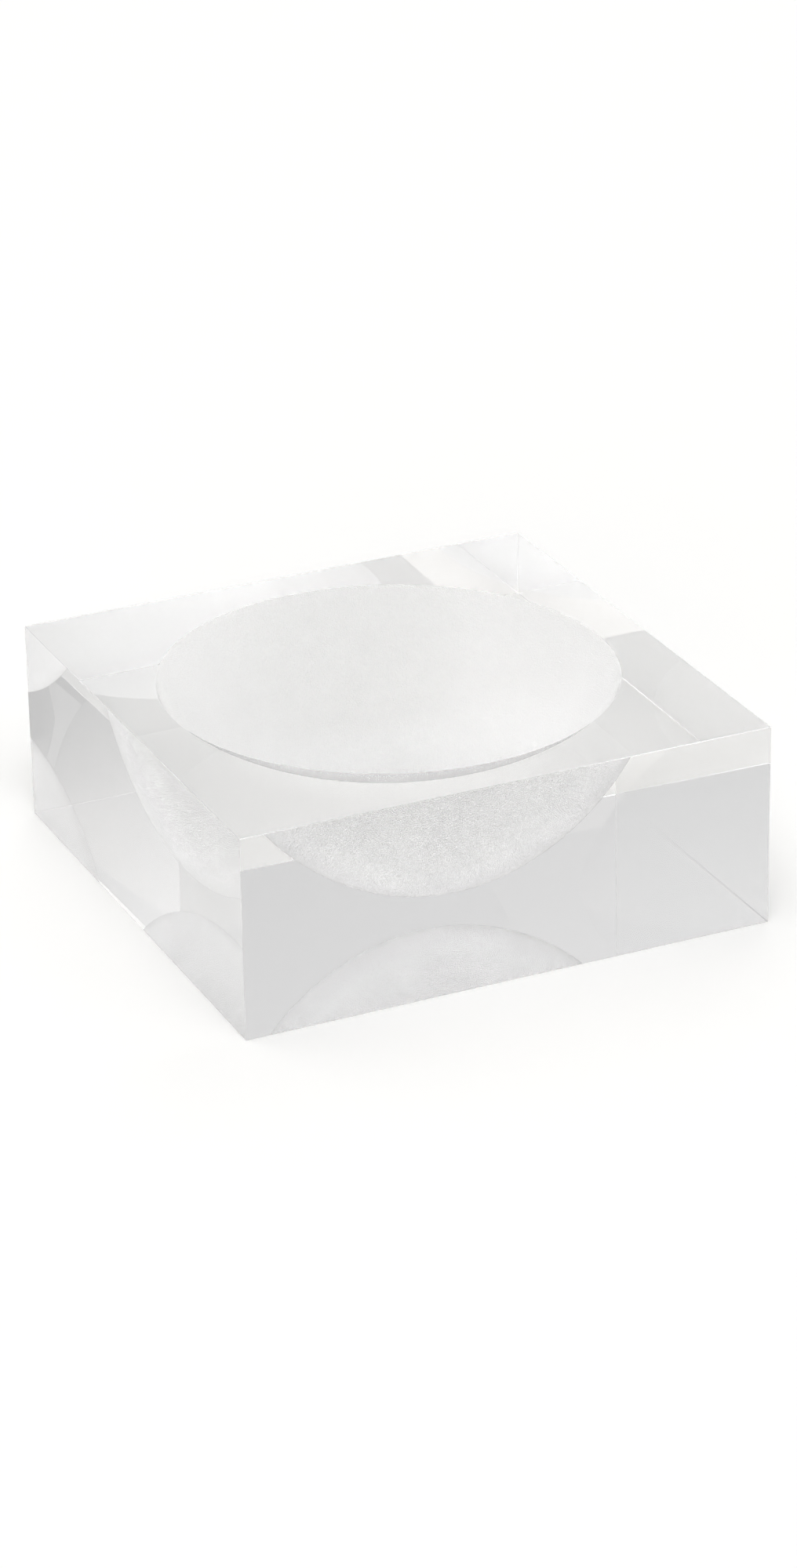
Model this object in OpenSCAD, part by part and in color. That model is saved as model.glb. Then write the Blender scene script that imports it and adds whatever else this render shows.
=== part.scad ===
// Solid clear acrylic block with a round bowl cut into its top face.
// Millimetres. +Z is up, the origin is the middle of the underside, and the bowl's axis is Z.

/* [Block] */
// Side of the square block
block_w = 152.4; // [140:0.1:200]
// Height of the block
block_h = 57.5; // [52:0.1:80]
// Width of the bevel that eases every outer edge
edge_bevel = 0.1; // [0.05:0.05:1]

/* [Bowl] */
// Diameter of the bowl at the top face, before its rim is eased
bowl_d = 126; // [122:0.5:134]
// Depth of the bowl below the top face
bowl_depth = 50; // [47:0.1:51]
// Radius of the rounded floor of the bowl
floor_r = 58; // [50:0.5:60]
// Slope of the bowl's wall where it meets the top face, in degrees from level
rim_slope = 73; // [70:0.5:76]
// Width of the bevel round the rim
rim_bevel = 0.15; // [0.05:0.05:1]

/* [Hidden] */
$fn = 180;
// how far the cutter stands out of the top face
overrun = 2;
bowl_r = bowl_d / 2;
// height of the floor arc's centre, from the top face: below zero is inside the block
floor_z = floor_r - bowl_depth;
// radius of the wall arc that leaves the rim at rim_slope and runs smoothly into the floor arc
wall_r = (bowl_r * bowl_r + bowl_depth * bowl_depth - 2 * bowl_depth * floor_r)
    / (2 * (bowl_r * sin(rim_slope) + floor_z * cos(rim_slope) - floor_r));
// centre of the wall arc
wall_x = bowl_r - wall_r * sin(rim_slope);
wall_z = wall_r * cos(rim_slope);
// height at which the two arcs meet: both centres and the meeting point lie on one line
meet_z = floor_z - floor_r * (wall_z - floor_z) / (wall_r - floor_r);

// A w by h rectangle with its four corners cut off
module eased_rectangle(w, h) {
    c = edge_bevel;
    polygon([
        [-w / 2 + c, -h / 2], [w / 2 - c, -h / 2], [w / 2, -h / 2 + c], [w / 2, h / 2 - c],
        [w / 2 - c, h / 2], [-w / 2 + c, h / 2], [-w / 2, h / 2 - c], [-w / 2, -h / 2 + c]
    ]);
}

// The sawn and polished block: three crossed bars, whose common part has all twelve edges eased
module solid_block() {
    translate([0, 0, block_h / 2])
        intersection() {
            linear_extrude(block_h, center = true)
                eased_rectangle(block_w, block_w);
            rotate([90, 0, 0])
                linear_extrude(block_w, center = true)
                    eased_rectangle(block_w, block_h);
            rotate([90, 0, 90])
                linear_extrude(block_w, center = true)
                    eased_rectangle(block_w, block_h);
        }
}

// Right half of the bowl's section, with the top face at y = 0
module bowl_section() {
    // rounded floor
    intersection() {
        translate([0, floor_z])
            circle(r = floor_r);
        translate([0, -bowl_depth])
            square([bowl_r, bowl_depth + meet_z]);
    }
    // wall
    intersection() {
        translate([wall_x, wall_z])
            circle(r = wall_r);
        translate([0, meet_z])
            square([bowl_r + wall_r, -meet_z]);
    }
    // eased rim, and the cutter above it
    polygon([
        [0, -2 * rim_bevel], [bowl_r - rim_bevel, -2 * rim_bevel], [bowl_r + rim_bevel, 0],
        [bowl_r + rim_bevel, overrun], [0, overrun]
    ]);
}

module acrylic_block() {
    color([0.90, 0.92, 0.92, 0.45])
        difference() {
            solid_block();
            translate([0, 0, block_h])
                rotate_extrude()
                    bowl_section();
        }
}

acrylic_block();
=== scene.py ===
import math

import bpy
from mathutils import Matrix, Vector


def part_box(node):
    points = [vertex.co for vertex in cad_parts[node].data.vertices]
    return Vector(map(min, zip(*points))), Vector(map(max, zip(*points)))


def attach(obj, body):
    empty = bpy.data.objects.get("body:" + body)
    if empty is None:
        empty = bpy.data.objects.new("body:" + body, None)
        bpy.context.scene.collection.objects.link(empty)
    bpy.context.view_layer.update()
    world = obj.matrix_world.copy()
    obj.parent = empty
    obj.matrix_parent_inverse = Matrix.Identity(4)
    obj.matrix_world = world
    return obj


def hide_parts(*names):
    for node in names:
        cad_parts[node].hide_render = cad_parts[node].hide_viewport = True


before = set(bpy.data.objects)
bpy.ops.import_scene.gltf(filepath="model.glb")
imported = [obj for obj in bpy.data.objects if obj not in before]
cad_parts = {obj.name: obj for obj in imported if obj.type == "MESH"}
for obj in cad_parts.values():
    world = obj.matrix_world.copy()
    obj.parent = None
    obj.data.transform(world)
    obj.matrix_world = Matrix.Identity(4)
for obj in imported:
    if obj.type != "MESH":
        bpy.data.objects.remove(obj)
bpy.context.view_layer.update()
low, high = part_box("acrylic_block")
side = high.x - low.x
top = high.z

# ---- The block -------------------------------------------------------------------------------
# A blank of thick cast acrylic (PMMA), sawn square, its faces milled, sanded and buffed to a clear
# polish. Every outer edge is only just broken, so that it stays crisp and doesn't cut a hand.
edge_ease = 0.0001
edge_steps = 3


def only(piece):
    """Leaves this piece alone selected and active."""
    bpy.ops.object.select_all(action="DESELECT")
    piece.select_set(True)
    bpy.context.view_layer.objects.active = piece


bpy.ops.object.select_all(action="DESELECT")
bpy.ops.mesh.primitive_cube_add(size=1, location=(low + high) / 2, scale=high - low)
block = bpy.context.object
block.name = "polished_block_with_bowl"
bpy.ops.object.transform_apply(location=True, rotation=False, scale=True)
bpy.ops.object.mode_set(mode="EDIT")
bpy.ops.mesh.select_all(action="SELECT")
bpy.ops.mesh.bevel(offset=edge_ease, segments=edge_steps, profile=0.5, affect="EDGES")
bpy.ops.object.mode_set(mode="OBJECT")

# ---- The bowl --------------------------------------------------------------------------------
# A form cutter mills the bowl out of the block: a rounded floor that runs smoothly into a steeper
# wall. The rim is eased, and the cut surface is bead-blasted to an even frost.
bowl_r = 0.063
bowl_depth = 0.050
floor_r = 0.058
rim_slope = math.radians(73)
rim_ease = 0.00015
overrun = 0.002
floor_steps = 24
wall_steps = 40
round_steps = 288
seed_size = 0.001
weld_gap = 0.000002

rise = floor_r - bowl_depth
wall_r = (bowl_r**2 + bowl_depth**2 - 2 * bowl_depth * floor_r) / (
    2 * (bowl_r * math.sin(rim_slope) + rise * math.cos(rim_slope) - floor_r)
)
floor_centre = Vector((0, 0, top + rise))
wall_centre = Vector(
    (bowl_r - wall_r * math.sin(rim_slope), 0, top + wall_r * math.cos(rim_slope))
)
# both centres and the point where the arcs meet lie on one line
lean = wall_centre - floor_centre
floor_sweep = math.atan2(-lean.x, lean.z)
wall_sweep = math.acos((wall_centre.z - top + rim_ease) / wall_r) - floor_sweep


def sweep_last_point(steps, angle, centre):
    """Turns the selected point about a level axis through centre, drawing an arc behind it."""
    bpy.ops.mesh.spin(steps=steps, angle=angle, center=centre, axis=(0, 1, 0))


bpy.ops.object.select_all(action="DESELECT")
bpy.ops.mesh.primitive_plane_add(size=seed_size, location=(0, 0, top - bowl_depth))
cutter = bpy.context.object
bpy.ops.object.transform_apply(location=True, rotation=False, scale=True)
bpy.ops.object.mode_set(mode="EDIT")
bpy.ops.mesh.select_all(action="SELECT")
bpy.ops.mesh.merge(type="CENTER")
sweep_last_point(floor_steps, floor_sweep, floor_centre)
sweep_last_point(wall_steps, wall_sweep, wall_centre)
bpy.ops.mesh.extrude_region_move(
    TRANSFORM_OT_translate={"value": (rim_ease + overrun, 0, rim_ease + overrun)}
)
bpy.ops.mesh.select_all(action="SELECT")
bpy.ops.mesh.spin(
    steps=round_steps, angle=2 * math.pi, center=(0, 0, 0), axis=(0, 0, 1)
)
bpy.ops.mesh.select_all(action="SELECT")
bpy.ops.mesh.remove_doubles(threshold=weld_gap)
bpy.ops.mesh.select_all(action="DESELECT")
bpy.ops.mesh.select_non_manifold()
bpy.ops.mesh.edge_face_add()
bpy.ops.mesh.select_all(action="SELECT")
bpy.ops.mesh.normals_make_consistent(inside=False)
bpy.ops.object.mode_set(mode="OBJECT")

only(block)
cut = block.modifiers.new("bowl", "BOOLEAN")
cut.operation = "DIFFERENCE"
cut.solver = "EXACT"
cut.object = cutter
bpy.ops.object.modifier_apply(modifier=cut.name)
bpy.data.objects.remove(cutter)

# The bowl and the eased edges are shaded smooth, and the six flat faces stay optically flat.
smooth_below = math.radians(32)
square_on = 0.99999
face_slack = 0.00001
bpy.ops.object.shade_smooth_by_angle(angle=smooth_below)
for face in block.data.polygons:
    flat = max(abs(c) for c in face.normal) > square_on
    inside = low.z + edge_ease < face.center.z < top - face_slack
    in_bowl = inside and math.hypot(face.center.x, face.center.y) < bowl_r + overrun
    face.use_smooth = in_bowl or not flat
    face.material_index = 1 if in_bowl else 0


def linear(colour):
    """An sRGB hex colour as the linear RGBA that shaders take."""
    parts = [int(colour[i : i + 2], 16) / 255 for i in (1, 3, 5)]
    return [p / 12.92 if p <= 0.04045 else ((p + 0.055) / 1.055) ** 2.4 for p in parts] + [1]


def add(tree, kind, settings=(), links=()):
    """Adds a node, sets its inputs or properties by name, and links its inputs to other outputs."""
    made = tree.nodes.new(kind)
    for name, value in dict(settings).items():
        if name in made.inputs:
            made.inputs[name].default_value = value
        else:
            setattr(made, name, value)
    for name, output in dict(links).items():
        tree.links.new(made.inputs[name], output)
    return made


# Buffed cast acrylic, which is PMMA: clear right through and glossy. The wheel leaves a faint roll
# in the flat faces and a trace of haze in cloudy patches.
roll_span = 0.045
roll_height = 0.000012
haze_span = 0.014
haze_most = 0.02

polished = bpy.data.materials.new("buffed cast acrylic")
polished.use_nodes = True
tree = polished.node_tree
shader = tree.nodes["Principled BSDF"]
shader.inputs["Base Color"].default_value = linear("#FFFFFF")
shader.inputs["IOR"].default_value = 1.49
shader.inputs["Transmission Weight"].default_value = 1
place = add(tree, "ShaderNodeTexCoord")
spots = {"Vector": place.outputs["Object"]}
haze = add(tree, "ShaderNodeTexNoise", {"Scale": 1 / haze_span, "Detail": 4}, spots)
gloss = add(
    tree,
    "ShaderNodeMapRange",
    {"From Min": 0.45, "From Max": 0.75, "To Min": 0, "To Max": haze_most},
    {"Value": haze.outputs["Fac"]},
)
tree.links.new(shader.inputs["Roughness"], gloss.outputs["Result"])
roll = add(tree, "ShaderNodeTexNoise", {"Scale": 1 / roll_span, "Detail": 0}, spots)
dent = add(
    tree,
    "ShaderNodeBump",
    {"Strength": 1, "Distance": roll_height},
    {"Height": roll.outputs["Fac"]},
)
tree.links.new(shader.inputs["Normal"], dent.outputs["Normal"])

# Bead-blasted cast acrylic: the same plastic with an even frost, which scatters all the light that
# passes it. The craters are about 0.05 mm wide; they are drawn at 0.3 mm, so that they show.
crater_span = 0.0003
crater_depth = 0.0003
cloud_span = 0.018
frost_least = 0.9
frost_most = 1.0

frosted = bpy.data.materials.new("bead-blasted cast acrylic")
frosted.use_nodes = True
tree = frosted.node_tree
shader = tree.nodes["Principled BSDF"]
shader.inputs["IOR"].default_value = 1.49
shader.inputs["Transmission Weight"].default_value = 1
place = add(tree, "ShaderNodeTexCoord")
spots = {"Vector": place.outputs["Object"]}
cloud = add(tree, "ShaderNodeTexNoise", {"Scale": 1 / cloud_span, "Detail": 3}, spots)
tone = add(
    tree,
    "ShaderNodeMixRGB",
    {"Color1": linear("#FDFDFE"), "Color2": linear("#FFFFFF")},
    {"Fac": cloud.outputs["Fac"]},
)
tree.links.new(shader.inputs["Base Color"], tone.outputs["Color"])
frost = add(
    tree,
    "ShaderNodeMapRange",
    {"From Min": 0.3, "From Max": 0.7, "To Min": frost_least, "To Max": frost_most},
    {"Value": cloud.outputs["Fac"]},
)
tree.links.new(shader.inputs["Roughness"], frost.outputs["Result"])
crater = add(tree, "ShaderNodeTexNoise", {"Scale": 1 / crater_span, "Detail": 1}, spots)
grain = add(
    tree,
    "ShaderNodeBump",
    {"Strength": 1, "Distance": crater_depth},
    {"Height": crater.outputs["Fac"]},
)
tree.links.new(shader.inputs["Normal"], grain.outputs["Normal"])

block.data.materials.append(polished)
block.data.materials.append(frosted)
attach(block, "root")
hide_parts("acrylic_block")

# ---- The floor -------------------------------------------------------------------------------
# A wide sheet of matte white paper, laid flat under the block. Fine fibres roughen it a little, and
# its white varies slightly from cloud to cloud.
floor_size = 8
floor_gap = 0.00005
fibre_span = 0.0008
fibre_height = 0.000003
paper_cloud_span = 0.03

bpy.ops.object.select_all(action="DESELECT")
bpy.ops.mesh.primitive_plane_add(size=floor_size, location=(0, 0, low.z - floor_gap))
floor = bpy.context.object
floor.name = "floor"
bpy.ops.object.transform_apply(location=True, rotation=False, scale=True)

paper = bpy.data.materials.new("matte white paper")
paper.use_nodes = True
tree = paper.node_tree
shader = tree.nodes["Principled BSDF"]
shader.inputs["IOR"].default_value = 1.5
shader.inputs["Roughness"].default_value = 0.9
place = add(tree, "ShaderNodeTexCoord")
spots = {"Vector": place.outputs["Object"]}
cloud = add(tree, "ShaderNodeTexNoise", {"Scale": 1 / paper_cloud_span, "Detail": 3}, spots)
white = add(
    tree,
    "ShaderNodeMixRGB",
    {"Color1": linear("#F8F8F7"), "Color2": linear("#F9F9F8")},
    {"Fac": cloud.outputs["Fac"]},
)
tree.links.new(shader.inputs["Base Color"], white.outputs["Color"])
fibre = add(tree, "ShaderNodeTexNoise", {"Scale": 1 / fibre_span, "Detail": 3}, spots)
nap = add(
    tree,
    "ShaderNodeBump",
    {"Strength": 1, "Distance": fibre_height},
    {"Height": fibre.outputs["Fac"]},
)
tree.links.new(shader.inputs["Normal"], nap.outputs["Normal"])
floor.data.materials.append(paper)

# ---- Studio light ----------------------------------------------------------------------------
# A white cove with no bare lamps: wide diffusers and bounce cards, each drawn on the sky as a soft
# round glow. The main one hangs high over the front left, and weaker ones fill in from all round.
scene = bpy.context.scene
world = bpy.data.worlds.new("studio")
scene.world = world
world.use_nodes = True
tree = world.node_tree
way = add(tree, "ShaderNodeTexCoord")
sky = add(tree, "ShaderNodeRGB")
sky.outputs["Color"].default_value = (0, 0, 0, 1)
light = sky.outputs["Color"]


def glow(turn, rise, span, power, colour="#FFFFFF"):
    """Adds a soft round light to the sky: turn is degrees clockwise from behind, rise is upward."""
    turn = math.radians(turn)
    rise = math.radians(rise)
    aim = Vector(
        (math.sin(turn) * math.cos(rise), math.cos(turn) * math.cos(rise), math.sin(rise))
    )
    moved = add(
        tree,
        "ShaderNodeMapping",
        {"Location": -aim / span, "Scale": [1 / span] * 3},
        {"Vector": way.outputs["Generated"]},
    )
    disc = add(
        tree,
        "ShaderNodeTexGradient",
        {"gradient_type": "SPHERICAL"},
        {"Vector": moved.outputs["Vector"]},
    )
    soft = add(
        tree,
        "ShaderNodeMapRange",
        {"interpolation_type": "SMOOTHSTEP"},
        {"Value": disc.outputs["Fac"]},
    )
    lit = add(
        tree,
        "ShaderNodeMixRGB",
        {"blend_type": "ADD", "Color2": [power * c for c in linear(colour)]},
        {"Fac": soft.outputs["Result"], "Color1": light},
    )
    return lit.outputs["Color"]


light = glow(-135, 70, 0.6, 3)
light = glow(-165, 60, 0.35, 3, "#F8FAFF")
light = glow(180, 50, 0.6, 2.5)
light = glow(-145, 10, 0.6, 4, "#FFFCF8")
light = glow(125, 30, 0.6, 0.8)
light = glow(150, 30, 0.3, 1)
light = glow(-20, 80, 0.5, 1.5, "#FFFAF2")
for turn in (-45, 45):
    light = glow(turn, 50, 0.6, 1.2)
for turn in (-20, 20):
    light = glow(turn, 30, 0.7, 0.5)
for turn in (-35, 35):
    light = glow(turn, 10, 0.6, 0.2)
tree.links.new(tree.nodes["Background"].inputs["Color"], light)

# ---- Camera ----------------------------------------------------------------------------------
# A long lens looks down on the block past its front left corner. Distances are in block sides, and
# light is followed through many bounces, because it turns inside the clear block again and again.
azimuth = math.radians(-24.335)
elevation = math.radians(25.117)
roll = math.radians(-0.974)
distance = 9.1334 * side
aim = Vector((0.1574, 0.3114, 0)) * side
lens_mm = 111.84
film_mm = 36
clear_bounces = 32
paper_bounces = 12
back = Vector(
    (
        math.sin(azimuth) * math.cos(elevation),
        -math.cos(azimuth) * math.cos(elevation),
        math.sin(elevation),
    )
)
camera = bpy.data.cameras.new("camera")
camera.lens = lens_mm
camera.sensor_width = film_mm
camera.clip_start = 0.01
view = bpy.data.objects.new("camera", camera)
scene.collection.objects.link(view)
view.matrix_world = (
    Matrix.Translation(aim + back * distance)
    @ back.to_track_quat("Z", "Y").to_matrix().to_4x4()
    @ Matrix.Rotation(roll, 4, "Z")
)
scene.camera = view
scene.view_settings.view_transform = "Standard"
scene.cycles.max_bounces = clear_bounces
scene.cycles.transmission_bounces = clear_bounces
scene.cycles.glossy_bounces = clear_bounces
scene.cycles.diffuse_bounces = paper_bounces
